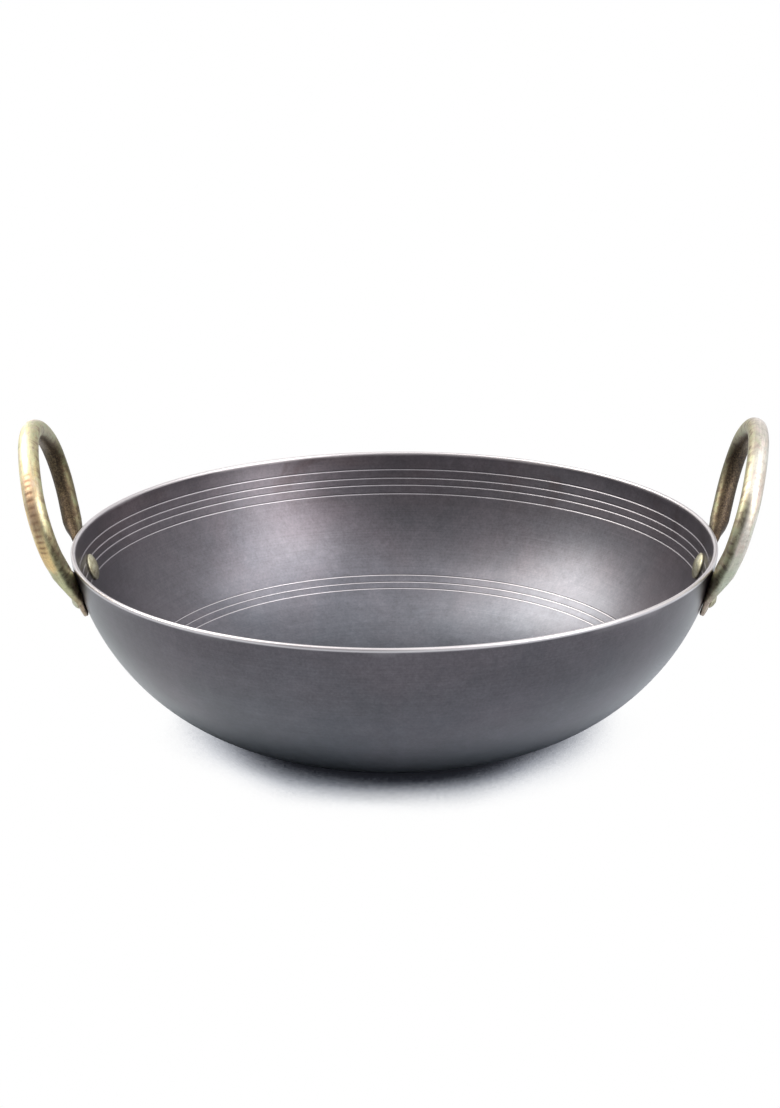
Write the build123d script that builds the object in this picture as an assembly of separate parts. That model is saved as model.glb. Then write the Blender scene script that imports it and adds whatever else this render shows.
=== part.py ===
from build123d import *
from math import asin, atan2, cos, hypot, radians, sin, sqrt
import os

# A round-bellied iron kadai: a spun bowl with a flat base and a polished round
# rim, and two loop handles bent from round rod. Each rod end is pressed flat
# into a tab that lies on the outside of the wall, and one rivet holds each tab.
# The origin is the centre of the flat base's underside, +Z is up, and the
# handles stand at the -X and +X sides. -Y is the front. Lengths are in
# millimetres and angles in degrees.

# Bowl: the outside runs from the flat base to the rim in two tangent arcs
RIM_DIAMETER = 260.0
BOWL_HEIGHT = 77.0
BASE_DIAMETER = 88.0
WALL = 1.9
KNEE_ANGLE = 48.4
RIM_ANGLE = 81.3
RIM_FLATS = 6

# Turned rings inside, as distances down the wall from the rim
RING_WIDTH = 0.7
RING_DEPTH = 0.18
UPPER_RING_DROPS = (7.3, 11.3, 14.6, 18.6)
LOWER_RING_DROPS = (58.3, 62.0, 65.4)

# Handles: the loop stands in a plane that leans outward, and its width and
# height are those of the rod's centreline
ROD_DIAMETER = 8.0
LOOP_WIDTH = 94.0
LOOP_HEIGHT = 64.9
FOOT_SPREAD = 37.6
SHOULDER_RADIUS = 18.2
CROWN_RADIUS = 67.3
LOOP_LEAN = 14.8
HANDLE_TURN = 5.4
RIVET_DROP = 15.0

# Pressed tabs at the rod's ends; the taper from round to flat takes its share of
# the straight leg above the tab
TAB_WIDTH = 14.6
TAB_THICKNESS = 2.4
TAB_CROWN = 4.0
TAB_TIP = 7.2
TAB_LENGTH = 8.0
TAPER_SHARE = 0.58
PRESS_RADIUS = 30.0
PRESS_ANGLE = 40.0
ROD_LIFT = 0.8
SEAT_GAP = 0.06

# Rivets: a domed head inside and a peened one outside, with rings of flats
SHANK_DIAMETER = 5.0
HOLE_CLEARANCE = 0.1
INNER_HEAD_DIAMETER = 11.0
INNER_HEAD_HEIGHT = 2.2
INNER_HEAD_EDGE = 0.7
OUTER_HEAD_DIAMETER = 6.6
OUTER_HEAD_HEIGHT = 1.9
OUTER_HEAD_EDGE = 0.4
HEAD_GAP = 0.03
HEAD_FLATS = 3

# One overrun serves every cut
OVERRUN = 20.0

# The rim is a full round of narrow flats, which reaches the bowl's height and its
# full diameter, so the wall's outer arc ends a little under the one and inside the other
RIM_EDGE_HEIGHT = BOWL_HEIGHT - WALL / 2 * (1 + cos(radians(RIM_ANGLE)))
RIM_EDGE_RADIUS = RIM_DIAMETER / 2 - WALL / 2 * (1 - sin(radians(RIM_ANGLE)))

SIDES = {"left": -1, "right": 1}
ENDS = {"front": -1, "back": 1}


def arc_radii():
    """Radii of the lower and upper arcs that join the base and the rim."""
    knee = radians(KNEE_ANGLE)
    rim = radians(RIM_ANGLE)
    across = RIM_EDGE_RADIUS - BASE_DIAMETER / 2
    a, b = sin(knee), sin(rim) - sin(knee)
    c, d = 1 - cos(knee), cos(knee) - cos(rim)
    scale = a * d - b * c
    lower = (across * d - b * RIM_EDGE_HEIGHT) / scale
    upper = (a * RIM_EDGE_HEIGHT - c * across) / scale
    return lower, upper


LOWER_RADIUS, UPPER_RADIUS = arc_radii()
UPPER_LENGTH = UPPER_RADIUS * radians(RIM_ANGLE - KNEE_ANGLE)
LOWER_LENGTH = LOWER_RADIUS * radians(KNEE_ANGLE)


def wall_point(drop, depth=0.0):
    """The wall's radius, height and slope angle at a distance down from the rim.

    depth is measured from the outer face into the wall.
    """
    if drop <= UPPER_LENGTH:
        angle = radians(RIM_ANGLE) - drop / UPPER_RADIUS
        radius = UPPER_RADIUS
        centre_r = RIM_EDGE_RADIUS - UPPER_RADIUS * sin(radians(RIM_ANGLE))
        centre_z = RIM_EDGE_HEIGHT + UPPER_RADIUS * cos(radians(RIM_ANGLE))
    else:
        angle = radians(KNEE_ANGLE) - (drop - UPPER_LENGTH) / LOWER_RADIUS
        radius = LOWER_RADIUS
        centre_r = BASE_DIAMETER / 2
        centre_z = LOWER_RADIUS
    reach = radius - depth
    return centre_r + reach * sin(angle), centre_z - reach * cos(angle), angle


def wall_arc(start, end, depth):
    """One stretch of a wall face, between two distances down from the rim."""
    ends = [wall_point(drop, depth)[:2] for drop in (start, (start + end) / 2, end)]
    return ThreePointArc(*ends)


def ringed_face():
    """The inner face from the rim down to the base, with a V cut at each ring."""
    edges = []
    here = 0.0
    rings = UPPER_RING_DROPS + LOWER_RING_DROPS
    for drop in sorted(rings + (UPPER_LENGTH,)):
        if drop == UPPER_LENGTH:
            edges.append(wall_arc(here, drop, WALL))
            here = drop
            continue
        top, bottom = drop - RING_WIDTH / 2, drop + RING_WIDTH / 2
        root = wall_point(drop, WALL - RING_DEPTH)[:2]
        edges.append(wall_arc(here, top, WALL))
        edges.append(Line(wall_point(top, WALL)[:2], root))
        edges.append(Line(root, wall_point(bottom, WALL)[:2]))
        here = bottom
    edges.append(wall_arc(here, UPPER_LENGTH + LOWER_LENGTH, WALL))
    return edges


def flats(points):
    """Straight edges from each point to the next."""
    return [Line(a, b) for a, b in zip(points, points[1:])]


def rim_round():
    """The half round that joins the outer face to the inner one, as narrow flats."""
    radius, height, slope = wall_point(0.0, WALL / 2)
    turns = [slope - radians(90) + radians(180) * i / RIM_FLATS for i in range(RIM_FLATS + 1)]
    return flats([(radius + WALL / 2 * cos(t), height + WALL / 2 * sin(t)) for t in turns])


def bowl_section():
    """Half of the bowl's cross-section, closed on the axis."""
    base = UPPER_LENGTH + LOWER_LENGTH
    edges = [
        Line((0, 0), wall_point(base)[:2]),
        wall_arc(base, UPPER_LENGTH, 0.0),
        wall_arc(UPPER_LENGTH, 0.0, 0.0),
        *rim_round(),
        *ringed_face(),
        Line(wall_point(base, WALL)[:2], (0, WALL)),
        Line((0, WALL), (0, 0)),
    ]
    return Plane.XZ * make_face(edges)


def spin(face):
    """A full turn about the bowl's axis."""
    return revolve(face, Axis.Z, 360)


def outward(side, swing):
    """The level direction from the bowl's axis to a handle's middle, swung to the back."""
    angle = swing - radians(HANDLE_TURN)
    return Vector(side * cos(angle), sin(angle), 0)


class Foot:
    """The frame of one tab: where its rivet goes through the wall, and how it lies."""

    def __init__(self, side, end):
        radius, height, slope = wall_point(RIVET_DROP)
        swing = asin(FOOT_SPREAD / 2 / radius)
        out = outward(side, swing * end)
        self.wall = out * radius + Vector(0, 0, height)
        self.normal = out * sin(slope) - Vector(0, 0, cos(slope))
        self.middle = self.wall + self.normal * (SEAT_GAP + TAB_THICKNESS / 2)


class Loop:
    """The plane of one handle's loop and its outline in that plane."""

    def __init__(self, side):
        self.feet = {end: Foot(side, sign) for end, sign in ENDS.items()}
        front, back = self.feet["front"].middle, self.feet["back"].middle
        out = outward(side, 0)
        lean = radians(LOOP_LEAN)
        self.across = (back - front).normalized()
        self.rise = out * sin(lean) + Vector(0, 0, cos(lean))
        self.face = out * cos(lean) - Vector(0, 0, sin(lean))
        self.origin = (front + back) * 0.5 + self.face * ROD_LIFT
        self.foot = (back - front).length / 2
        self.shoulder = self.shoulder_centre()
        self.leg, leg_length = self.leg_direction()
        self.taper_end = TAB_LENGTH + (leg_length - TAB_LENGTH) * TAPER_SHARE

    def shoulder_centre(self):
        """Centre of the shoulder arc, which touches the crown arc from inside."""
        across = LOOP_WIDTH / 2 - SHOULDER_RADIUS
        reach = CROWN_RADIUS - SHOULDER_RADIUS
        return across, LOOP_HEIGHT - CROWN_RADIUS + sqrt(reach ** 2 - across ** 2)

    def leg_direction(self):
        """Direction of the straight leg, from the foot to its touch on the shoulder."""
        dx, dy = self.shoulder[0] - self.foot, self.shoulder[1]
        distance = hypot(dx, dy)
        angle = atan2(dy, dx) - asin(SHOULDER_RADIUS / distance)
        return (cos(angle), sin(angle)), sqrt(distance ** 2 - SHOULDER_RADIUS ** 2)

    def at(self, x, y):
        """A point of the loop's plane in space."""
        return self.origin + self.across * x + self.rise * y

    def leg_axis(self, sign):
        """The leg's upward direction in space, for the front or the back leg."""
        return self.across * (sign * self.leg[0]) + self.rise * self.leg[1]

    def leg_point(self, sign, along):
        """A point on the leg's centreline, at a distance from the rivet."""
        return self.at(sign * (self.foot + self.leg[0] * along), self.leg[1] * along)


def loop_path(loop):
    """The round rod's centreline, up one leg, over the shoulders and crown and down the other."""
    cx, cy = loop.shoulder
    crown_y = LOOP_HEIGHT - CROWN_RADIUS
    touch = atan2(cy - crown_y, cx)
    low = atan2(loop.leg[1], loop.leg[0]) - radians(90)
    mid = (low + touch) / 2
    r = SHOULDER_RADIUS
    edges = []
    for sign in (-1, 1):
        arc = [loop.at(sign * (cx + r * cos(a)), cy + r * sin(a)) for a in (low, mid, touch)]
        straight = Line(loop.leg_point(sign, loop.taper_end), arc[0])
        edges.append([straight, ThreePointArc(*arc)])
    top = [loop.at(sign * (cx + r * cos(touch)), cy + r * sin(touch)) for sign in (-1, 1)]
    crown = ThreePointArc(top[0], loop.at(0, LOOP_HEIGHT), top[1])
    return Curve() + [*edges[0], crown, *edges[1]]


def rod(loop):
    """The round rod of the loop between the two pressed ends."""
    plane = Plane(loop.leg_point(-1, loop.taper_end), x_dir=loop.face, z_dir=loop.leg_axis(-1))
    return sweep(plane * Circle(ROD_DIAMETER / 2), path=loop_path(loop))


def tab_frame(loop, end):
    """The tab's middle plane: x runs up the tab, z points away from the wall."""
    foot = loop.feet[end]
    up = loop.leg_axis(ENDS[end])
    along = (up - foot.normal * up.dot(foot.normal)).normalized()
    return Plane(foot.middle, x_dir=along, z_dir=foot.normal)


def pressed_end(loop, end):
    """The rod's end, spread and thinned towards the tab, before the press flattens it."""
    frame = tab_frame(loop, end)
    axis = loop.leg_axis(ENDS[end])
    top = loop.leg_point(ENDS[end], loop.taper_end)
    round_end = Plane(top, x_dir=loop.face.cross(axis), z_dir=axis)
    sections = [round_end * Circle(ROD_DIAMETER / 2)]
    for along in (TAB_LENGTH, 0.0, -TAB_TIP - TAB_THICKNESS):
        centre = frame.origin + frame.x_dir * along
        plane = Plane(centre, x_dir=frame.z_dir.cross(frame.x_dir), z_dir=frame.x_dir)
        sections.append(plane * Ellipse(TAB_WIDTH / 2, TAB_CROWN / 2))
    return loft(sections)


def seat_plug(foot):
    """A drum of the wall's upright curve, which beds a tab onto the wall all down its middle."""
    level = foot.normal.cross(Vector(0, 0, 1)).normalized()
    middle = Plane(foot.wall - foot.normal * UPPER_RADIUS, z_dir=level)
    return middle * Cylinder(UPPER_RADIUS + SEAT_GAP, 2 * OVERRUN)


def press_tools(loop, end):
    """Solids to cut away: the wall under the seat, over the tab, and around its round tip."""
    frame = tab_frame(loop, end)
    half = TAB_THICKNESS / 2
    flat_end = TAB_LENGTH - ROD_LIFT
    arc_mid, arc_end = [
        (flat_end + PRESS_RADIUS * sin(turn), half + PRESS_RADIUS * (1 - cos(turn)))
        for turn in (radians(PRESS_ANGLE) / 2, radians(PRESS_ANGLE))
    ]
    outline = Curve() + [
        Line((-OVERRUN, half), (flat_end, half)),
        ThreePointArc((flat_end, half), arc_mid, arc_end),
        Line(arc_end, (arc_end[0], OVERRUN)),
        Line((arc_end[0], OVERRUN), (-OVERRUN, OVERRUN)),
        Line((-OVERRUN, OVERRUN), (-OVERRUN, half)),
    ]
    side_plane = Plane(frame.origin, x_dir=frame.x_dir, z_dir=frame.x_dir.cross(frame.z_dir))
    over = extrude(side_plane * make_face(outline), amount=OVERRUN, both=True)
    block = frame * Box(OVERRUN, 2 * OVERRUN, OVERRUN, align=(Align.MAX, Align.CENTER, Align.CENTER))
    tip = block - frame * Cylinder(TAB_TIP, 2 * OVERRUN)
    return [seat_plug(loop.feet[end]), over, tip]


def rivet_hole(foot):
    """The hole that each rivet passes through, in the wall and in the tab."""
    plane = Plane(foot.wall, z_dir=foot.normal)
    return plane * Cylinder((SHANK_DIAMETER + HOLE_CLEARANCE) / 2, OVERRUN)


def bowl():
    """The spun bowl, with its rings and four rivet holes."""
    body = spin(bowl_section())
    for side in SIDES.values():
        for end in ENDS.values():
            body -= rivet_hole(Foot(side, end))
    return body


def handle(side):
    """One bent rod handle with its two pressed and pierced ends."""
    loop = Loop(side)
    body = rod(loop)
    for end in ENDS:
        piece = pressed_end(loop, end)
        for tool in press_tools(loop, end):
            piece -= tool
        piece -= rivet_hole(loop.feet[end])
        body += piece
    return body


def head(diameter, height, edge):
    """A rivet head that stands on the XY plane: a short upright edge and a domed top."""
    radius = diameter / 2
    rise = height - edge
    ball = (radius ** 2 + rise ** 2) / (2 * rise)
    turns = [asin(radius / ball) * i / HEAD_FLATS for i in range(HEAD_FLATS, 0, -1)]
    dome = [(ball * sin(t), height - ball * (1 - cos(t))) for t in turns]
    axis_top = (0, dome[-1][1])
    return spin(Plane.XZ * make_face(flats([(0, 0), (radius, 0), *dome, axis_top, (0, 0)])))


def concave_rise():
    """How far the wall's inner face rises over the inner head's edge."""
    inside = UPPER_RADIUS - WALL
    return inside - sqrt(inside ** 2 - (INNER_HEAD_DIAMETER / 2) ** 2)


def rivet(foot):
    """One rivet, from its domed head inside the bowl to its peened head on the tab."""
    inner = -(WALL + concave_rise() + HEAD_GAP)
    outer = SEAT_GAP + TAB_THICKNESS + HEAD_GAP
    plane = Plane(foot.wall, z_dir=foot.normal)
    standing = (Align.CENTER, Align.CENTER, Align.MIN)
    shank = Cylinder(SHANK_DIAMETER / 2, outer - inner, align=standing)
    inner_head = head(INNER_HEAD_DIAMETER, INNER_HEAD_HEIGHT, INNER_HEAD_EDGE)
    outer_head = head(OUTER_HEAD_DIAMETER, OUTER_HEAD_HEIGHT, OUTER_HEAD_EDGE)
    body = Pos(0, 0, inner) * (shank + Rot(180, 0, 0) * inner_head) + Pos(0, 0, outer) * outer_head
    return plane * body


def main():
    os.makedirs("parts", exist_ok=True)
    export_step(bowl(), "parts/bowl.step")
    for name, side in SIDES.items():
        export_step(handle(side), f"parts/{name}_handle.step")
        for end, sign in ENDS.items():
            export_step(rivet(Foot(side, sign)), f"parts/rivet_{name}_{end}.step")


main()
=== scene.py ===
from math import asin, atan2, cos, hypot, pi, radians, sin, sqrt

import bmesh
import bpy
import numpy as np
from mathutils import Matrix, Vector

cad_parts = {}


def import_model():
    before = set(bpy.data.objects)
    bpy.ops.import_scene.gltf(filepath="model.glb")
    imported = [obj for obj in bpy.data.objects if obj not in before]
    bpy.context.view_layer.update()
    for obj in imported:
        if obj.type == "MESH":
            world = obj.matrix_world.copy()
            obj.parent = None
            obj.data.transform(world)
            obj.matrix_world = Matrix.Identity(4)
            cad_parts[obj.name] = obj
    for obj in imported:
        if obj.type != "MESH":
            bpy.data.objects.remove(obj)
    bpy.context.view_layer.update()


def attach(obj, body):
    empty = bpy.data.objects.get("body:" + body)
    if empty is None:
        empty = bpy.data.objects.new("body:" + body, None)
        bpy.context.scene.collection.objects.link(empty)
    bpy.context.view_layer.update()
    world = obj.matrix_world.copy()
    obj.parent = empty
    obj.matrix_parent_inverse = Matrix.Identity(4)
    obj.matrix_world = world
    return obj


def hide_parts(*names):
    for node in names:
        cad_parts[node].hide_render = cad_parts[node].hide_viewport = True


# Lengths are in millimetres until a mesh is made, angles in degrees.
MM = 0.001

# Bowl: the same two tangent arcs, rim and turned rings as the CAD
RIM_DIAMETER = 260.0
BOWL_HEIGHT = 77.0
BASE_DIAMETER = 88.0
WALL = 1.9
KNEE_ANGLE = 48.4
RIM_ANGLE = 81.3
RING_WIDTH = 0.7
RING_DEPTH = 0.18
RING_DROPS = (7.3, 11.3, 14.6, 18.6, 58.3, 62.0, 65.4)
# Steps across a ring: the share of its width off its middle, the share of its depth, and the shine
RING_STEPS = ((0.88, 0, 0), (0.60, 0, 0), (0.50, 0.08, 0), (0.34, 0.76, 0.2), (0.24, 0.92, 1), (0.08, 1, 1))
TURNS = 420
OUTER_WALL_ROWS = 64
RIM_ROWS = 19
FLOOR_RADII = (4, 10, 18, 26, 34, 40)
SWAY_DEPTH = 0.05
# Shares that keep the rim's full round just inside the flats of the CAD's
RADIUS_SHARE = 0.9998
HEIGHT_SHARE = 0.9997
# Moves the grain inside the bowl away from that outside
INSIDE_SHIFT = 200

# Handles
ROD_RADIUS = 4.0
LOOP_WIDTH = 94.0
LOOP_HEIGHT = 64.9
FOOT_SPREAD = 37.6
SHOULDER_RADIUS = 18.2
CROWN_RADIUS = 67.3
LOOP_LEAN = 14.8
HANDLE_TURN = 5.4
RIVET_DROP = 15.0
TAB_WIDTH = 14.6
TAB_THICKNESS = 2.4
TAB_TIP = 7.2
TAB_LENGTH = 8.0
TAPER_SHARE = 0.58
PRESS_RADIUS = 30.0
ROD_LIFT = 0.8
SEAT_GAP = 0.06
ROD_SIDES = 96
ROD_STEP = 0.25
HAMMER_DEPTH = 0.09
UNEVEN_DEPTH = 0.05
JAW_MARK_DEPTH = 0.10
# How much of the wall's bend the beaten tab takes on
BEATEN_SHARE = 0.85
SHADY_ANGLE = 150
# Moves the right handle's film colours away from the left one's
RIGHT_SHIFT = 400

# Rivets
SHANK_RADIUS = 2.5
INNER_HEAD = (5.5, 2.2, 0.7)
OUTER_HEAD = (3.3, 1.9, 0.4)
HEAD_GAP = 0.03
RIVET_SIDES = 64
DOME_ROWS = 16
BLOWS = 7

# Lamps and camera: distances in metres, the sensor in millimetres, the photograph in pixels
LAMP_DISTANCE = 1.3
LAMP_AIM_HEIGHT = 0.04
WATTS_PER_LEVEL = 4
WARM = (1.0, 0.965, 0.885)
NEAR_WHITE = (1.0, 0.985, 0.97)
CAMERA_DISTANCE = 0.91
SENSOR = 36.0
PHOTO_HEIGHT = 1108

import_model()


def bowl_arcs():
    """Radii of the lower and upper arc of the outer face, from the sizes above."""
    knee, rim = radians(KNEE_ANGLE), radians(RIM_ANGLE)
    height = BOWL_HEIGHT - WALL / 2 * (1 + cos(rim))
    reach = RIM_DIAMETER / 2 - WALL / 2 * (1 - sin(rim))
    across = reach - BASE_DIAMETER / 2
    a, b = sin(knee), sin(rim) - sin(knee)
    c, d = 1 - cos(knee), cos(knee) - cos(rim)
    scale = a * d - b * c
    return (across * d - b * height) / scale, (a * height - c * across) / scale, height, reach


LOWER_RADIUS, UPPER_RADIUS, RIM_EDGE_HEIGHT, RIM_EDGE_RADIUS = bowl_arcs()
UPPER_LENGTH = UPPER_RADIUS * radians(RIM_ANGLE - KNEE_ANGLE)
WALL_LENGTH = UPPER_LENGTH + LOWER_RADIUS * radians(KNEE_ANGLE)
SECTION_LENGTH = WALL_LENGTH + BASE_DIAMETER / 2


def wall_point(drop, depth=0.0):
    """The wall's radius, height and slope at a distance down from the rim."""
    if drop <= UPPER_LENGTH:
        angle = radians(RIM_ANGLE) - drop / UPPER_RADIUS
        radius = UPPER_RADIUS
        centre_r = RIM_EDGE_RADIUS - UPPER_RADIUS * sin(radians(RIM_ANGLE))
        centre_z = RIM_EDGE_HEIGHT + UPPER_RADIUS * cos(radians(RIM_ANGLE))
    else:
        angle = radians(KNEE_ANGLE) - (drop - UPPER_LENGTH) / LOWER_RADIUS
        radius = LOWER_RADIUS
        centre_r = BASE_DIAMETER / 2
        centre_z = LOWER_RADIUS
    reach = radius - depth
    return centre_r + reach * sin(angle), centre_z - reach * cos(angle), angle


def waves(seed, count, low, high):
    """Seeded smooth noise of three coordinates, about -1 to 1, from sines of random direction."""
    rng = np.random.RandomState(seed)
    ways = rng.normal(size=(count, 3))
    ways /= np.linalg.norm(ways, axis=1)[:, None]
    ways *= rng.uniform(low, high, count)[:, None]
    phases = rng.uniform(0, 2 * pi, count)

    def at(points):
        return np.sin(points @ ways.T * 2 * pi + phases).sum(-1) / sqrt(count)

    return at


def mesh_object(name, points, faces, attributes, material):
    """A smooth mesh in metres from points in millimetres, with point attributes, riding on the root."""
    mesh = bpy.data.meshes.new(name)
    mesh.from_pydata((np.asarray(points) * MM).tolist(), [], faces)
    mesh.update()
    for key, values in attributes.items():
        values = np.asarray(values, np.float32)
        kind, field = ("FLOAT", "value") if values.ndim == 1 else ("FLOAT_VECTOR", "vector")
        mesh.attributes.new(key, kind, "POINT").data.foreach_set(field, values.ravel())
    mesh.shade_smooth()
    mesh.materials.append(material)
    piece = bpy.data.objects.new(name, mesh)
    bpy.context.scene.collection.objects.link(piece)
    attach(piece, "root")
    return piece


def tube_faces(rows, columns):
    """Quads between rows of points that each close on themselves, and a fan to one more point at each end."""
    k = np.arange(rows * columns).reshape(rows, columns)
    right = np.roll(k, -1, axis=1)
    faces = np.stack([k[:-1], right[:-1], right[1:], k[1:]], -1).reshape(-1, 4).tolist()
    first_end = rows * columns
    last_row = first_end - columns
    for here in range(columns):
        after = (here + 1) % columns
        faces.append([first_end, after, here])
        faces.append([first_end + 1, last_row + here, last_row + after])
    return faces


# ---- materials ----


class Nodes:
    """A short way to write a material's nodes."""

    def __init__(self, name):
        self.material = bpy.data.materials.new(name)
        self.material.use_nodes = True
        self.tree = self.material.node_tree
        self.shader = self.tree.nodes["Principled BSDF"]

    def add(self, kind, **settings):
        node = self.tree.nodes.new(kind)
        for key, value in settings.items():
            setattr(node, key, value)
        return node

    def put(self, socket, value):
        if isinstance(value, bpy.types.NodeSocket):
            self.tree.links.new(value, socket)
        elif value is not None:
            socket.default_value = value

    def attribute(self, name, vector=False):
        node = self.add("ShaderNodeAttribute", attribute_name=name)
        return node.outputs["Vector" if vector else "Fac"]

    def place(self):
        return self.add("ShaderNodeTexCoord").outputs["Object"]

    def noise(self, vector, scale, detail, roughness, distortion=0.0):
        node = self.add("ShaderNodeTexNoise")
        self.put(node.inputs["Vector"], vector)
        settings = {"Scale": scale, "Detail": detail, "Roughness": roughness, "Distortion": distortion}
        for key, value in settings.items():
            self.put(node.inputs[key], value)
        return node.outputs["Fac"]

    def stretch(self, vector, scale, start=(0.0, 0.0, 0.0)):
        node = self.add("ShaderNodeMapping")
        self.put(node.inputs["Vector"], vector)
        node.inputs["Scale"].default_value = scale
        node.inputs["Location"].default_value = start
        return node.outputs["Vector"]

    def remap(self, value, low, high, to_low, to_high, smooth=False):
        node = self.add("ShaderNodeMapRange", interpolation_type="SMOOTHSTEP" if smooth else "LINEAR")
        self.put(node.inputs["Value"], value)
        for key, number in (("From Min", low), ("From Max", high), ("To Min", to_low), ("To Max", to_high)):
            self.put(node.inputs[key], number)
        return node.outputs["Result"]

    def spread(self, noise, to_low, to_high):
        """A noise's usual range, 0.3 to 0.7, laid over another range."""
        return self.remap(noise, 0.3, 0.7, to_low, to_high)

    def math(self, operation, a, b=None):
        node = self.add("ShaderNodeMath", operation=operation)
        self.put(node.inputs[0], a)
        self.put(node.inputs[1], b)
        return node.outputs[0]

    def ramp(self, value, stops):
        node = self.add("ShaderNodeValToRGB")
        marks = node.color_ramp.elements
        while len(marks) < len(stops):
            marks.new(0.5)
        for mark, (position, colour) in zip(marks, stops):
            mark.position = position
            mark.color = (*colour, 1.0)
        self.put(node.inputs["Fac"], value)
        return node.outputs["Color"]

    def mix(self, share, a, b):
        node = self.add("ShaderNodeMix", data_type="RGBA")
        self.put(node.inputs["Factor"], share)
        for socket, value in ((node.inputs[6], a), (node.inputs[7], b)):
            self.put(socket, (*value, 1.0) if isinstance(value, tuple) else value)
        return node.outputs[2]

    def scaled(self, colour, value):
        """A colour times a number, for grain, mottling and painted shade."""
        node = self.add("ShaderNodeVectorMath", operation="SCALE")
        self.put(node.inputs[0], colour)
        self.put(node.inputs["Scale"], value)
        return node.outputs[0]

    def bump(self, height, distance, strength):
        node = self.add("ShaderNodeBump")
        self.put(node.inputs["Height"], height)
        self.put(node.inputs["Distance"], distance)
        self.put(node.inputs["Strength"], strength)
        return node.outputs["Normal"]

    def finish(self, colour, roughness, normal):
        for key, value in (("Base Color", colour), ("Roughness", roughness), ("Normal", normal)):
            self.put(self.shader.inputs[key], value)
        self.shader.inputs["Metallic"].default_value = 1.0
        return self.material


def iron():
    """Dark sheet iron, spun: cloudy satin grey with fine marks round the bowl, polished rim and rings."""
    n = Nodes("iron")
    place = n.place()
    spun = n.attribute("spun", vector=True)
    bright = n.attribute("bright")
    band = n.attribute("band")
    depth = n.attribute("depth")
    clouds = n.noise(place, 17.0, 4.0, 0.6, 0.4)
    warmth = n.noise(n.stretch(spun, (1.3, 1.3, 0.035)), 1.0, 3.0, 0.6)
    grain = n.noise(place, 900.0, 3.0, 0.7)
    flecks = n.noise(place, 260.0, 3.0, 0.75)
    lines = n.noise(n.stretch(spun, (1.6, 1.6, 2.2)), 1.0, 3.0, 0.6)
    level = n.math("ADD", depth, n.spread(clouds, 0.26, -0.26))
    scale = n.ramp(
        level,
        [(0.0, (0.117, 0.102, 0.118)), (0.30, (0.120, 0.113, 0.131)), (0.75, (0.120, 0.126, 0.150))],
    )
    blots = n.noise(place, 42.0, 4.0, 0.65, 0.5)
    scale = n.scaled(scale, n.spread(clouds, 0.83, 1.17))
    scale = n.scaled(scale, n.spread(blots, 0.88, 1.12))
    # On the outside only, the colour is darkened a little near the rim and down to half towards the base; the
    # darkening towards the base is painted shade.
    upper = n.remap(depth, 0.15, 0.5, 0.80, 1.0, True)
    lower = n.remap(depth, 0.62, 1.0, 1.0, 0.50, True)
    outer = n.math("MULTIPLY", upper, lower)
    scale = n.scaled(scale, n.mix(n.attribute("inside"), outer, (1.0, 1.0, 1.0)))
    brown = n.math("MULTIPLY", n.remap(warmth, 0.5, 0.68, 0, 0.5, True), band)
    scale = n.mix(brown, scale, (0.150, 0.110, 0.114))
    stain = n.noise(place, 30.0, 4.0, 0.65, 0.7)
    stain = n.math("MULTIPLY", n.remap(stain, 0.55, 0.68, 0, 0.75, True), band)
    scale = n.mix(stain, scale, (0.078, 0.058, 0.064))
    scale = n.scaled(scale, n.spread(grain, 0.85, 1.15))
    scale = n.scaled(scale, n.spread(flecks, 0.90, 1.10))
    scale = n.scaled(scale, n.spread(lines, 0.92, 1.08))
    steel = n.ramp(lines, [(0.35, (0.55, 0.515, 0.535)), (0.65, (0.70, 0.665, 0.68))])
    cut = n.ramp(lines, [(0.35, (0.44, 0.42, 0.45)), (0.65, (0.62, 0.59, 0.62))])
    steel = n.mix(n.attribute("ring"), steel, cut)
    colour = n.mix(bright, scale, steel)
    satin = n.math("ADD", n.spread(clouds, 0.35, 0.41), n.spread(grain, -0.02, 0.02))
    rough = n.mix(bright, satin, n.spread(lines, 0.36, 0.45))
    height = n.math("ADD", n.math("MULTIPLY", grain, 0.6), n.math("MULTIPLY", lines, 0.8))
    n.shader.inputs["Coat Weight"].default_value = 0.6
    n.shader.inputs["Coat Roughness"].default_value = 0.30
    return n.finish(colour, rough, n.bump(height, 0.00002, 0.5))


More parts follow.
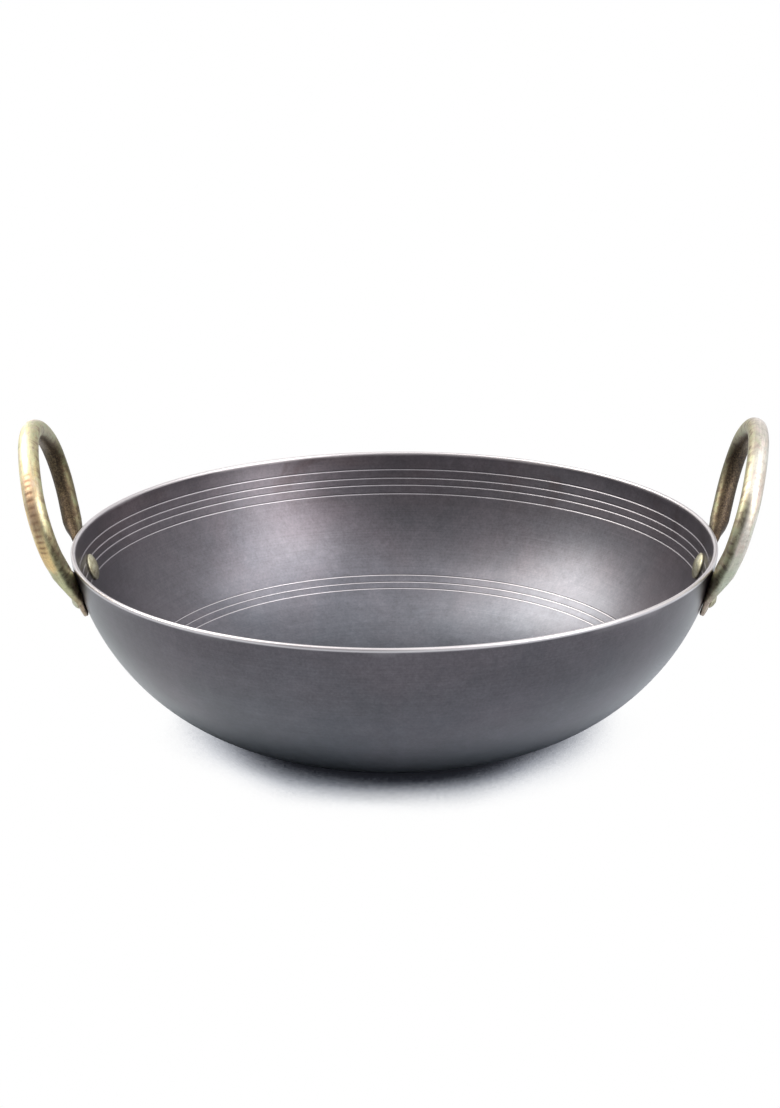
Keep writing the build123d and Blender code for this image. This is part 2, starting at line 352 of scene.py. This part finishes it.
def plated_rod():
    """Yellow-passivated zinc on drawn rod: pale gold that drifts to green and pink, speckled brown, with
    painted shade inside the loop, towards the bowl and on the back leg, and a painted highlight over the far
    crown.
    """
    n = Nodes("plated_rod")
    place = n.place()
    rod = n.attribute("rod", vector=True)
    inner = n.attribute("inner")
    marks = n.attribute("marks")
    tone = n.attribute("tone")
    foot = n.attribute("foot")
    under = n.attribute("under")
    mottle = n.noise(place, 330.0, 3.0, 0.6, 0.3)
    speckle = n.noise(place, 1500.0, 3.0, 0.75)
    streaks = n.noise(n.stretch(rod, (6.0, 6.0, 0.12)), 1.0, 3.0, 0.6)

    def patch(start, size, length, low, high):
        """A soft-edged film of colour that drifts along the rod."""
        shift = (start, 2 * start, 0.7 * start)
        cloud = n.noise(n.stretch(rod, (size, size, length), shift), 1.0, 2.5, 0.55, 0.3)
        cloud = n.math("ADD", cloud, n.spread(mottle, -0.035, 0.035))
        return n.remap(cloud, low, high, 0, 1, True)

    yellow = n.mix(tone, (0.91, 0.85, 0.57), (0.80, 0.78, 0.71))
    straw = n.mix(tone, (0.78, 0.71, 0.49), (0.76, 0.72, 0.64))
    gold = n.mix(tone, (0.86, 0.61, 0.29), (0.78, 0.69, 0.60))
    tan = n.mix(tone, (0.56, 0.39, 0.26), (0.70, 0.58, 0.51))
    green = n.mix(tone, (0.52, 0.54, 0.30), (0.57, 0.62, 0.45))
    lilac = n.mix(tone, (0.76, 0.62, 0.55), (0.84, 0.73, 0.70))
    colour = n.mix(patch(3.1, 0.7, 0.050, 0.44, 0.56), straw, yellow)
    colour = n.mix(n.math("MULTIPLY", patch(17.3, 0.8, 0.060, 0.50, 0.60), 0.8), colour, gold)
    colour = n.mix(n.math("MULTIPLY", patch(41.9, 0.9, 0.075, 0.54, 0.62), 0.7), colour, tan)
    crest = n.mix(tone, yellow, (0.66, 0.61, 0.55))
    colour = n.mix(n.math("MULTIPLY", n.attribute("crest"), 0.7), colour, crest)
    # The far half of the crown turns paler and pinker: partly the film's colour, partly a painted highlight.
    colour = n.mix(n.attribute("pale"), colour, n.mix(tone, (0.93, 0.87, 0.84), (0.88, 0.82, 0.80)))
    colour = n.mix(n.attribute("green"), colour, n.scaled(green, 0.9))
    colour = n.mix(n.math("MULTIPLY", patch(29.7, 0.7, 0.070, 0.52, 0.62), 0.6), colour, green)
    colour = n.mix(n.math("MULTIPLY", patch(53.3, 0.9, 0.080, 0.54, 0.64), 0.6), colour, lilac)
    colour = n.mix(n.attribute("golden"), colour, gold)
    colour = n.mix(n.attribute("worn"), colour, tan)
    # Painted shade: a dark olive strip on the legs' side towards the bowl, near the tabs.
    shade_stripe = n.math("MULTIPLY", n.attribute("shade_stripe"), n.spread(mottle, 1.0, 0.7))
    colour = n.mix(shade_stripe, colour, n.ramp(mottle, [(0.40, (0.10, 0.085, 0.05)), (0.62, (0.20, 0.20, 0.11))]))
    # Painted shade: a darker olive-brown on the side of the rod towards the bowl.
    olive = n.ramp(
        mottle,
        [(0.36, (0.24, 0.17, 0.10)), (0.50, (0.42, 0.36, 0.20)), (0.64, (0.40, 0.43, 0.24))],
    )
    colour = n.mix(n.math("MULTIPLY", under, 0.85), colour, olive)
    rust = n.ramp(
        mottle,
        [(0.36, (0.24, 0.16, 0.11)), (0.50, (0.48, 0.34, 0.26)), (0.66, (0.46, 0.42, 0.27))],
    )
    colour = n.mix(n.math("MULTIPLY", foot, 0.85), colour, rust)
    # Painted shade inside the loop: dark speckled brown there, and the roughness is raised a little too.
    shade_and_dullness = n.remap(n.math("ADD", inner, n.spread(speckle, -0.30, 0.30)), 0.25, 0.75, 0, 0.92, True)
    colour = n.mix(shade_and_dullness, colour, n.ramp(speckle, [(0.44, (0.085, 0.055, 0.042)), (0.66, (0.30, 0.21, 0.12))]))
    colour = n.mix(n.math("MULTIPLY", marks, 0.85), colour, (0.25, 0.14, 0.08))
    # The back leg is scaled darker towards its end, down to about half: painted shade.
    colour = n.scaled(colour, n.remap(n.attribute("back_leg_shade"), 0, 1, 1.0, 0.46))
    colour = n.scaled(colour, n.spread(streaks, 0.86, 1.08))
    colour = n.scaled(colour, n.remap(mottle, 0.3, 0.5, 0.84, 1.0, True))
    colour = n.scaled(colour, n.remap(speckle, 0.3, 0.5, 0.76, 1.0, True))
    rough = n.math("ADD", n.spread(streaks, 0.42, 0.50), n.math("MULTIPLY", shade_and_dullness, 0.06))
    height = n.math("ADD", speckle, n.math("MULTIPLY", streaks, 0.8))
    return n.finish(colour, rough, n.bump(height, 0.00004, 0.5))


def rivet_plate():
    """Dull yellow-passivated rivets, rubbed paler on the high spots."""
    n = Nodes("rivet")
    place = n.place()
    patches = n.noise(place, 330.0, 3.0, 0.65, 0.3)
    speckle = n.noise(place, 1700.0, 3.0, 0.7)
    colour = n.ramp(
        patches,
        [
            (0.3, (0.30, 0.26, 0.17)),
            (0.45, (0.50, 0.47, 0.33)),
            (0.58, (0.62, 0.60, 0.45)),
            (0.72, (0.46, 0.44, 0.36)),
        ],
    )
    colour = n.scaled(colour, n.spread(speckle, 0.8, 1.1))
    rough = n.spread(patches, 0.46, 0.34)
    return n.finish(colour, rough, n.bump(speckle, 0.00006, 0.6))


IRON, PLATED, RIVET = iron(), plated_rod(), rivet_plate()

# ---- bowl ----


def bowl_profile():
    """Rows from the underside's middle out, up, over the rim and in to the middle of the floor.

    Each is (radius, height, drop from the rim, brightness, inside, ring).
    """
    rows = [(r, 0.0, SECTION_LENGTH - r, 0.0, 0.0, 0.0) for r in FLOOR_RADII]
    for drop in np.linspace(WALL_LENGTH, 0.6, OUTER_WALL_ROWS):
        r, z, _ = wall_point(drop)
        rows.append((r, z, drop, 0.0, 0.0, 0.0))
    r, z, slope = wall_point(0.0, WALL / 2)
    for turn in np.linspace(slope - pi / 2, slope + pi / 2, RIM_ROWS):
        rows.append((r + WALL / 2 * cos(turn), z + WALL / 2 * sin(turn), 0.0, 1.0, 0.5, 0.0))
    drops = [(0.5, 0.0, 0.0)]
    for ring in RING_DROPS:
        for off, cut, shine in RING_STEPS:
            drops += [(ring + way * off * RING_WIDTH, cut, shine) for way in (-1, 1)]
    plain = np.append(1.2, np.arange(2.4, WALL_LENGTH, 2.3))
    near = [min(abs(d - ring) for ring in RING_DROPS) for d in plain]
    drops += [(d, 0.0, 0.0) for d, gap in zip(plain, near) if gap > 0.9]
    for drop, cut, shine in sorted(drops):
        r, z, _ = wall_point(drop, WALL - RING_DEPTH * cut)
        rows.append((r, z, drop, shine, 1.0, 1.0 if drop > 2 else 0.0))
    rows += [(r, WALL, SECTION_LENGTH - r, 0.0, 1.0, 0.0) for r in reversed(FLOOR_RADII)]
    return np.array(rows)


def bowl():
    """The spun bowl as one closed sheet."""
    rows = bowl_profile()
    turns = np.arange(TURNS) / TURNS * 2 * pi
    radius, height, drop, bright, inside, ring = (column[:, None] + 0 * turns for column in rows.T)
    radius, height = radius * RADIUS_SHARE, height * HEIGHT_SHARE
    x, y = radius * np.cos(turns), radius * np.sin(turns)
    points = np.stack([x, y, height], -1)
    # the sheet isn't quite true: the middle of the wall wanders a few hundredths either way
    sway = waves(4, 7, 0.004, 0.012)(points) * SWAY_DEPTH * np.clip((drop - 6) / 10, 0, 1)
    points[..., :2] *= (1 - np.abs(sway) / np.maximum(radius, 30))[..., None]
    # the polish runs a little way down both faces at the rim, unevenly
    wander = waves(9, 6, 0.01, 0.04)(points)
    edge = np.clip(1.15 - (drop + 0.1 * wander) / 0.5, 0, 1)
    bright = np.maximum(bright, edge)
    band = np.clip(1.2 - drop / 24, 0, 1) * inside
    still = 0 * drop
    spun = np.stack([np.cos(turns) + still, np.sin(turns) + still, drop + INSIDE_SHIFT * inside], -1)
    middles = [[0, 0, SECTION_LENGTH], [0, 0, SECTION_LENGTH + INSIDE_SHIFT]]
    deepest = SECTION_LENGTH / WALL_LENGTH
    attributes = {
        "spun": np.concatenate([spun.reshape(-1, 3), middles]),
        "bright": np.append(bright, (0, 0)),
        "band": np.append(band, (0, 0)),
        "inside": np.append(np.clip(inside * 2, 0, 1), (0, 1)),
        "ring": np.append(ring, (0, 0)),
        "depth": np.append(drop / WALL_LENGTH, (deepest, deepest)),
    }
    faces = tube_faces(len(rows), TURNS)
    points = np.concatenate([points.reshape(-1, 3), [[0, 0, 0], [0, 0, WALL]]])
    piece = mesh_object("Bowl", points, faces, attributes, IRON)
    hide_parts("bowl")


# ---- handles ----


def outward(side, swing):
    angle = swing - radians(HANDLE_TURN)
    return np.array([side * cos(angle), sin(angle), 0.0])


def unit(v):
    return v / np.linalg.norm(v)


def unit_rows(v):
    return v / np.linalg.norm(v, axis=-1)[..., None]


class Foot:
    """Where one rivet goes through the wall, and how its tab lies."""

    def __init__(self, side, end):
        radius, height, slope = wall_point(RIVET_DROP)
        out = outward(side, asin(FOOT_SPREAD / 2 / radius) * end)
        up = np.array([0.0, 0.0, 1.0])
        self.wall = out * radius + up * height
        self.normal = out * sin(slope) - up * cos(slope)
        self.middle = self.wall + self.normal * (SEAT_GAP + TAB_THICKNESS / 2)


class Loop:
    """The plane of one handle, and its centreline as stations with their axes."""

    def __init__(self, side):
        self.feet = {end: Foot(side, end) for end in (-1, 1)}
        front, back = self.feet[-1].middle, self.feet[1].middle
        out, up, lean = outward(side, 0), np.array([0.0, 0.0, 1.0]), radians(LOOP_LEAN)
        self.across = unit(back - front)
        self.rise = out * sin(lean) + up * cos(lean)
        self.face = out * cos(lean) - up * sin(lean)
        self.origin = (front + back) / 2 + self.face * ROD_LIFT
        self.foot = np.linalg.norm(back - front) / 2
        cx = LOOP_WIDTH / 2 - SHOULDER_RADIUS
        cy = LOOP_HEIGHT - CROWN_RADIUS + sqrt((CROWN_RADIUS - SHOULDER_RADIUS) ** 2 - cx**2)
        dx, distance = cx - self.foot, hypot(cx - self.foot, cy)
        angle = atan2(cy, dx) - asin(SHOULDER_RADIUS / distance)
        self.leg = (cos(angle), sin(angle))
        self.length = sqrt(distance**2 - SHOULDER_RADIUS**2)
        self.taper_end = TAB_LENGTH + (self.length - TAB_LENGTH) * TAPER_SHARE
        self.centre, self.low = (cx, cy), angle - pi / 2
        self.touch = atan2(cy - LOOP_HEIGHT + CROWN_RADIUS, cx)

    def half(self):
        """(x, y, direction of travel, distance from the rivet) up the leg at +x and along to the top."""
        rows = []
        for u in np.arange(-TAB_TIP, self.length, ROD_STEP):
            rows.append((self.foot + self.leg[0] * u, self.leg[1] * u, self.low + pi / 2, u))
        (cx, cy), here = self.centre, self.length
        for radius, x, y, start, end in (
            (SHOULDER_RADIUS, cx, cy, self.low, self.touch),
            (CROWN_RADIUS, 0.0, LOOP_HEIGHT - CROWN_RADIUS, self.touch, pi / 2),
        ):
            count = int(round(radius * (end - start) / ROD_STEP))
            for turn in np.linspace(start, end, count, endpoint=False):
                gone = here + radius * (turn - start)
                rows.append((x + radius * cos(turn), y + radius * sin(turn), turn + pi / 2, gone))
            here += radius * (end - start)
        rows.append((0.0, LOOP_HEIGHT, pi, here))
        return np.array(rows)


def ease(t):
    t = np.clip(t, 0, 1)
    return t * t * (3 - 2 * t)


def smaller(a, b, k):
    """The smaller of two numbers, with the corner between them rounded."""
    k = np.maximum(k, 0.01)
    h = np.clip(0.5 + 0.5 * (b - a) / k, 0, 1)
    return b * (1 - h) + a * h - k * h * (1 - h)


def leg_sections(loop, end, rows):
    """Centre, width axis, thickness axis and half sizes of each section of one half of the loop."""
    foot = loop.feet[end]
    x, y, way, u = rows.T
    along = loop.across * end * loop.leg[0] + loop.rise * loop.leg[1]
    tab_up = unit(along - foot.normal * (along @ foot.normal))
    tab_side = unit(np.cross(tab_up, foot.normal))
    plane_side = end * loop.across * np.sin(way)[:, None] - loop.rise * np.cos(way)[:, None]
    tab_side *= np.sign(tab_side @ plane_side[0])
    share = ease((u - 1.0) / (loop.taper_end - 1.0))[:, None]
    in_plane = loop.origin + end * loop.across * x[:, None] + loop.rise * y[:, None]
    on_tab = foot.middle + tab_up * u[:, None]
    centre = on_tab * (1 - share) + in_plane * share
    side = tab_side * (1 - share) + plane_side * share
    thick = foot.normal * (1 - share) + loop.face * share
    side = side / np.linalg.norm(side, axis=1)[:, None]
    thick = thick - side * (thick * side).sum(1)[:, None]
    thick = thick / np.linalg.norm(thick, axis=1)[:, None]
    taper = np.clip((u - TAB_LENGTH) / (loop.taper_end - TAB_LENGTH), 0, 1)
    half_width = TAB_WIDTH / 2 + (ROD_RADIUS - TAB_WIDTH / 2) * ease(taper)
    tip = np.clip(-u / TAB_TIP, 0, 1)
    half_width = half_width * np.sqrt(np.maximum(1 - tip**2, 0.0004))
    loft = 2.0 + (ROD_RADIUS - 2.0) * taper
    past = np.clip(u - TAB_LENGTH + ROD_LIFT, 0, 25)
    press = TAB_THICKNESS / 2 + PRESS_RADIUS - np.sqrt(PRESS_RADIUS**2 - past**2)
    above = smaller(press, loft, 0.5)
    above = np.where(u > loop.taper_end, ROD_RADIUS, above)
    # underneath, the tab lies on the wall, which falls away from it up the leg
    seat = (centre - foot.middle) @ foot.normal + TAB_THICKNESS / 2 + u**2 / 2 / UPPER_RADIUS
    below = np.where(u > 0, smaller(seat, loft, 1.2 * taper), TAB_THICKNESS / 2)
    thin = np.sqrt(np.clip(1 - np.clip((-u - TAB_TIP + 0.9) / 0.9, 0, 1) ** 2, 0.001, 1))
    square = 4.5 - 2.5 * ease(taper * 1.15)
    return centre, side, thick, half_width, above * thin, below * thin, square


def joined_sections(loop):
    """The sections from tab to tab, with distances along the rod.

    These are each section's from the nearer rivet and from the front one, and the whole.
    """
    rows = loop.half()
    front, back = leg_sections(loop, -1, rows), leg_sections(loop, 1, rows)
    sections = [np.concatenate([a, b[::-1][1:]]) for a, b in zip(front, back)]
    there, return_way = rows[:, 3], rows[::-1, 3][1:]
    total = 2 * rows[-1, 3]
    nearer = np.concatenate([there, return_way])
    along = np.concatenate([there, total - return_way])
    return sections, nearer, along, total


def wear_and_painted_light(side, phi, along, total, points):
    """Where the plate is marked or tinted, and where shade and a highlight are painted on it, 0 to 1 at each
    point, mostly stronger on the left handle.
    """

    def window(low, high, soft, middle=0.0, width=9.0):
        """1 on a stretch of the rod and on a strip of its round, 0 elsewhere, with soft ends."""
        strip = np.exp(-(((phi[None] - middle + pi) % (2 * pi) - pi) / width) ** 4)
        return strip * (ease((along - low) / soft) * ease((high - along) / soft))[:, None]

    left = side < 0
    strength = 1.0 if left else 0.35
    drift = (0.46 - 0.011 * np.clip(along - 42, 0, 32))[:, None]
    marks = window(39, 74, 4, drift, 0.44) * strength
    return {
        "marks": marks * np.clip(0.95 + 0.15 * waves(3 - side, 5, 0.03, 0.08)(points), 0, 1),
        "worn": window(42, 82, 12, drift - 0.05, 0.62) * 0.8 * strength,
        "golden": window(29, 51, 7, 0.55, 0.85) * 0.9 * strength,
        # painted shade: a dark strip on the legs' side towards the bowl, near the tabs
        "shade_stripe": window(-9, 57 if left else 66, 9, -0.45, 0.38) * 0.9,
        "green": window(6, 36, 8) * 0.65,
        "crest": window(70 if left else 82, total - 46, 14),
        # paler far crown: partly film colour, partly a painted highlight
        "pale": window(total / 2 - 6, total - 60, 16) * (0.8 if left else 0.6),
    }


def jaw_teeth(along):
    """0 to 1 across the jaw marks, which lie closer together towards the tab."""
    pitch = np.maximum(1.9 + (along - 42) * 0.036, 1.2)
    return (0.5 + 0.5 * np.cos(2 * pi * np.log(pitch) / 0.036))[:, None] ** 2


def handle(name, side):
    """One bent rod with its two hammered tabs, as one closed tube."""
    loop = Loop(side)
    sections, u, along, total = joined_sections(loop)
    centre, across, thick, half_width, above, below, square = sections
    phi = np.arange(ROD_SIDES) / ROD_SIDES * 2 * pi
    c, s = np.cos(phi)[None], np.sin(phi)[None]
    power = (2 / square)[:, None]
    width = np.sign(c) * np.abs(c) ** power * half_width[:, None]
    depth = np.sign(s) * np.abs(s) ** power * np.where(s > 0, above[:, None], below[:, None])
    # the tab is beaten down onto the wall, so it bends with it
    radius, _, slope = wall_point(RIVET_DROP)
    fade = ease((13 - u) / 6)[:, None]
    sag = u[:, None] ** 2 / 2 / UPPER_RADIUS + width**2 / 2 / (radius / sin(slope))
    depth = depth - BEATEN_SHARE * sag * fade
    points = centre[:, None] + across[:, None] * width[..., None] + thick[:, None] * depth[..., None]
    sideways = across[:, None] * (c * above[:, None])[..., None]
    normal = unit_rows(sideways + thick[:, None] * (s * half_width[:, None])[..., None])

    # hammer marks on the tab, jaw marks across the rod's outer side, and a slightly uneven rod
    masks = wear_and_painted_light(side, phi, along, total, points)
    teeth = jaw_teeth(along)
    flat = ease((loop.taper_end - 4 - u) / 8)[:, None]
    dents = waves(31 + side, 9, 0.10, 0.24)(points) * HAMMER_DEPTH * flat
    uneven = np.abs(waves(17 + side, 7, 0.02, 0.07)(points)) * UNEVEN_DEPTH
    grooves = masks["marks"] * teeth
    points = points + normal * (dents - uneven - JAW_MARK_DEPTH * grooves)[..., None]

    # the plate is painted darker brown inside the loop and on the side towards the bowl, as painted shade,
    # and is a little duller inside the loop; the whole back leg is painted darker, as painted shade; near the
    # tabs it is rusty
    still = 0 * along[:, None]
    shady = np.clip(np.cos(phi - radians(SHADY_ANGLE)) * 1.35, 0, 1)[None]
    masks["marks"] = masks["marks"] * (0.35 + 0.65 * teeth)
    masks["inner"] = shady * (0.35 + 0.65 * ease((u - 2) / 12))[:, None]
    masks["under"] = np.clip(0.15 - 1.1 * np.sin(phi) - 0.35 * np.cos(phi), 0, 1)[None] + still
    masks["foot"] = ease((21 - u) / 17)[:, None] + 0 * c
    masks["back_leg_shade"] = ease((along - total + 74) / 24)[:, None] + 0 * c
    rod = np.stack([c + still, s + still, along[:, None] + 0 * c + RIGHT_SHIFT * (side > 0)], -1)
    attributes = {key: np.append(values, (0, 0)) for key, values in masks.items()}
    attributes["rod"] = np.concatenate([rod.reshape(-1, 3), rod[[0, -1], 0]])

    ends = [points[0].mean(0), points[-1].mean(0)]
    faces = tube_faces(len(centre), ROD_SIDES)
    points = np.concatenate([points.reshape(-1, 3), ends])
    attributes["tone"] = np.full(len(points), 1.0 if side > 0 else 0.0)
    return mesh_object(name, points, faces, attributes, PLATED)


# ---- rivets ----


def ball_radius(radius, height, edge):
    """Radius of the ball that a head's dome is part of."""
    rise = height - edge
    return (radius**2 + rise**2) / 2 / rise


def dome(radius, height, edge):
    """(radius, height) from the rim of a head up to near its top, with a rounded shoulder."""
    ball = ball_radius(radius, height, edge)
    rows = [(radius - 0.18, 0.0), (radius - 0.05, 0.06), (radius, 0.2), (radius, edge - 0.12)]
    for turn in np.linspace(asin((radius - 0.05) / ball), 0.02, DOME_ROWS):
        rows.append((ball * sin(turn), height - ball * (1 - cos(turn))))
    return rows


def hammered(local, inner, outer, seed):
    """The rivet's points with the small flats that hammer blows leave, cut below the round of the domes."""
    rng = np.random.RandomState(seed)
    for sign, start, head in ((-1, inner, INNER_HEAD), (1, outer, OUTER_HEAD)):
        _, height, edge = head
        ball = ball_radius(*head)
        middle = np.array([0, 0, start + sign * height]) - np.array([0, 0, sign * ball])
        on_head = (local[..., 2] - start) * sign > edge * 0.4
        for _ in range(BLOWS):
            tilt, turn = rng.uniform(0.06, 0.42), rng.uniform(0, 2 * pi)
            way = np.array([sin(tilt) * cos(turn), sin(tilt) * sin(turn), sign * cos(tilt)])
            limit = middle @ way + ball - rng.uniform(0.03, 0.09)
            over = np.where(on_head, np.maximum(local @ way - limit, 0), 0)
            local = local - over[..., None] * way
    return local


def rivet(name, foot, seed):
    """One rivet: a domed head inside, the shank, and the peened head on the tab."""
    inside = UPPER_RADIUS - WALL
    rise = inside - sqrt(inside**2 - INNER_HEAD[0] ** 2)
    inner = -(WALL + rise + HEAD_GAP)
    outer = SEAT_GAP + TAB_THICKNESS + HEAD_GAP
    rows = [(r, inner - z) for r, z in reversed(dome(*INNER_HEAD))]
    rows += [(SHANK_RADIUS, inner), (SHANK_RADIUS, outer)]
    rows += [(r, outer + z) for r, z in dome(*OUTER_HEAD)]
    rows = np.array(rows)
    turns = np.arange(RIVET_SIDES) / RIVET_SIDES * 2 * pi
    r, z = rows[:, :1] + 0 * turns, rows[:, 1:] + 0 * turns
    local = hammered(np.stack([r * np.cos(turns), r * np.sin(turns), z], -1), inner, outer, seed)
    across = unit(np.cross(foot.normal, [0, 0, 1]))
    up = np.cross(across, foot.normal)
    placed = foot.wall + local[..., :1] * across + local[..., 1:2] * up + local[..., 2:] * foot.normal
    points = np.concatenate([placed.reshape(-1, 3), [placed[0].mean(0), placed[-1].mean(0)]])
    return mesh_object(name, points, tube_faces(len(rows), RIVET_SIDES), {}, RIVET)


def turn_out(piece):
    """Faces outward on every closed mesh."""
    work = bmesh.new()
    work.from_mesh(piece.data)
    bmesh.ops.recalc_face_normals(work, faces=work.faces)
    work.to_mesh(piece.data)
    work.free()


bowl()
for side_name, side in (("left", -1), ("right", 1)):
    piece = handle(side_name.title() + "Handle", side)
    turn_out(piece)
    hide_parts(side_name + "_handle")
    for end_name, end in (("front", -1), ("back", 1)):
        label = side_name.title() + end_name.title() + "Rivet"
        piece = rivet(label, Foot(side, end), 50 + 3 * side + end)
        turn_out(piece)
        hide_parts("rivet_" + side_name + "_" + end_name)
turn_out(bpy.data.objects["Bowl"])

# ---- floor, light and camera ----


def floor():
    """A white floor that shows the bowl's contact shadow, painted from its occlusion."""
    reach, side = 9.0, 9
    mesh = bpy.data.meshes.new("Floor")
    steps = np.linspace(-1, 1, side)
    points = [(x * reach, y * reach, 0.0) for y in steps for x in steps]
    starts = [k for k in range(side * (side - 1)) if k % side != side - 1]
    faces = [(k, k + 1, k + side + 1, k + side) for k in starts]
    mesh.from_pydata(points, [], faces)
    n = Nodes("floor")
    n.tree.nodes.remove(n.shader)
    shade = n.add("ShaderNodeAmbientOcclusion", samples=16)
    shade.inputs["Distance"].default_value = 0.25
    # the room's light comes in from both sides, so the painted shadow is made shorter to the left and right
    # than in front
    split = n.add("ShaderNodeSeparateXYZ")
    n.put(split.inputs[0], n.place())
    aside = n.math("ABSOLUTE", n.math("ADD", split.outputs["X"], 0.006))
    colour = n.ramp(
        n.math("ADD", shade.outputs["AO"], n.remap(aside, 0.030, 0.064, -0.011, 0.030, True)),
        [
            (0.0, (0.002, 0.002, 0.003)),
            (0.08, (0.009, 0.010, 0.013)),
            (0.105, (0.013, 0.014, 0.019)),
            (0.136, (0.062, 0.067, 0.084)),
            (0.155, (0.155, 0.165, 0.195)),
            (0.18, (0.29, 0.31, 0.35)),
            (0.206, (0.46, 0.48, 0.53)),
            (0.226, (0.66, 0.68, 0.73)),
            (0.255, (0.86, 0.87, 0.90)),
            (0.31, (1.0, 1.0, 1.0)),
        ],
    )
    light = n.add("ShaderNodeEmission")
    n.put(light.inputs["Color"], colour)
    # what the bowl reflects is a lit paper floor with the lamps' real shadow on it; its colour is also
    # painted from the occlusion, nearly black and bluish close to the bowl as a painted shadow, and greyer
    # again far from it
    paper = n.add("ShaderNodeBsdfDiffuse")
    greys = (
        (0.0, 0.01, 0.2),
        (0.14, 0.03, 0.2),
        (0.26, 0.24, 0.15),
        (0.45, 0.92, 0.06),
        (0.80, 0.58, 0.06),
        (1.0, 0.50, 0.06),
    )
    tints = [(at, (grey * (1 - blue), grey, grey * (1 + blue))) for at, grey, blue in greys]
    n.put(paper.inputs["Color"], n.ramp(shade.outputs["AO"], tints))
    seen = n.add("ShaderNodeMixShader")
    n.put(seen.inputs[0], n.add("ShaderNodeLightPath").outputs["Is Camera Ray"])
    n.tree.links.new(paper.outputs[0], seen.inputs[1])
    n.tree.links.new(light.outputs[0], seen.inputs[2])
    out = n.tree.nodes["Material Output"]
    n.tree.links.new(seen.outputs[0], out.inputs["Surface"])
    mesh.materials.append(n.material)
    made = bpy.data.objects.new("Floor", mesh)
    bpy.context.scene.collection.objects.link(made)


def lamp(name, azimuth, elevation, width, height, level, tint=(1, 1, 1)):
    """A soft box turned to the bowl, azimuth 0 on the camera's side and 90 on the right, at a radiance."""
    a, e = radians(azimuth), radians(elevation)
    away = Vector((sin(a) * cos(e), -cos(a) * cos(e), sin(e)))
    data = bpy.data.lights.new(name, "AREA")
    data.shape = "RECTANGLE"
    data.color = tint
    data.size, data.size_y, data.energy = width, height, WATTS_PER_LEVEL * level * width * height
    made = bpy.data.objects.new(name, data)
    made.location = away * LAMP_DISTANCE + Vector((0, 0, LAMP_AIM_HEIGHT))
    made.rotation_euler = away.to_track_quat("Z", "Y").to_euler()
    bpy.context.scene.collection.objects.link(made)


def world():
    """White behind everything for the camera, and a plain room, dimmer behind the camera, for the light."""
    made = bpy.data.worlds.new("World")
    made.use_nodes = True
    tree = made.node_tree
    sky = tree.nodes["Background"]
    way = tree.nodes.new("ShaderNodeTexCoord")
    split = tree.nodes.new("ShaderNodeSeparateXYZ")
    tree.links.new(way.outputs["Generated"], split.inputs[0])
    front = tree.nodes.new("ShaderNodeMapRange")
    front.interpolation_type = "SMOOTHSTEP"
    for key, value in (("From Min", -0.95), ("From Max", -0.2), ("To Min", 0.38), ("To Max", 0.85)):
        front.inputs[key].default_value = value
    tree.links.new(split.outputs["Y"], front.inputs["Value"])
    path = tree.nodes.new("ShaderNodeLightPath")
    level = tree.nodes.new("ShaderNodeMix")
    level.data_type = "FLOAT"
    tree.links.new(path.outputs["Is Camera Ray"], level.inputs[0])
    tree.links.new(front.outputs["Result"], level.inputs[2])
    level.inputs[3].default_value = 1.0
    sky.inputs["Color"].default_value = (1, 1, 1, 1)
    tree.links.new(level.outputs[0], sky.inputs["Strength"])
    bpy.context.scene.world = made


def camera():
    """The photograph's camera, a little above the rim and a degree to the right."""
    elevation, azimuth = 0.307384, radians(1.0)
    focal, middle, centre, roll = 2247.59, (390.0, 554.0), (394.33, 536.62), -0.00709
    back = Vector((sin(azimuth) * cos(elevation), -cos(azimuth) * cos(elevation), sin(elevation)))
    right = Vector((cos(azimuth), sin(azimuth), 0.0))
    up = back.cross(right)
    yaw, pitch = atan2(centre[0] - middle[0], focal), atan2(centre[1] - middle[1], focal)
    ahead = -back * cos(yaw) - right * sin(yaw)
    right = right * cos(yaw) - back * sin(yaw)
    ahead, up = ahead * cos(pitch) + up * sin(pitch), up * cos(pitch) - ahead * sin(pitch)
    right, up = right * cos(roll) + up * sin(roll), up * cos(roll) - right * sin(roll)
    data = bpy.data.cameras.new("Camera")
    data.sensor_width = SENSOR
    data.lens = focal * SENSOR / PHOTO_HEIGHT
    data.clip_start, data.clip_end = 0.05, 60.0
    made = bpy.data.objects.new("Camera", data)
    bpy.context.scene.collection.objects.link(made)
    rows = Matrix((right, up, -ahead)).transposed()
    place = Vector((0, 0, BOWL_HEIGHT * MM)) + back * CAMERA_DISTANCE
    made.matrix_world = Matrix.Translation(place) @ rows.to_4x4()
    bpy.context.scene.camera = made


floor()
world()
lamp("KeyLight", -114, 44, 0.95, 0.60, 4.5, WARM)
lamp("HighKeyLight", -106, 64, 0.90, 0.50, 1.8, WARM)
lamp("StripLight", 55, 28, 0.55, 1.20, 3.6, NEAR_WHITE)
lamp("RightLight", 82, 54, 1.00, 0.50, 2.4, NEAR_WHITE)
lamp("TopLight", 0, 88, 1.20, 1.20, 0.35)
camera()
settings = bpy.context.scene.view_settings
settings.view_transform = "Standard"
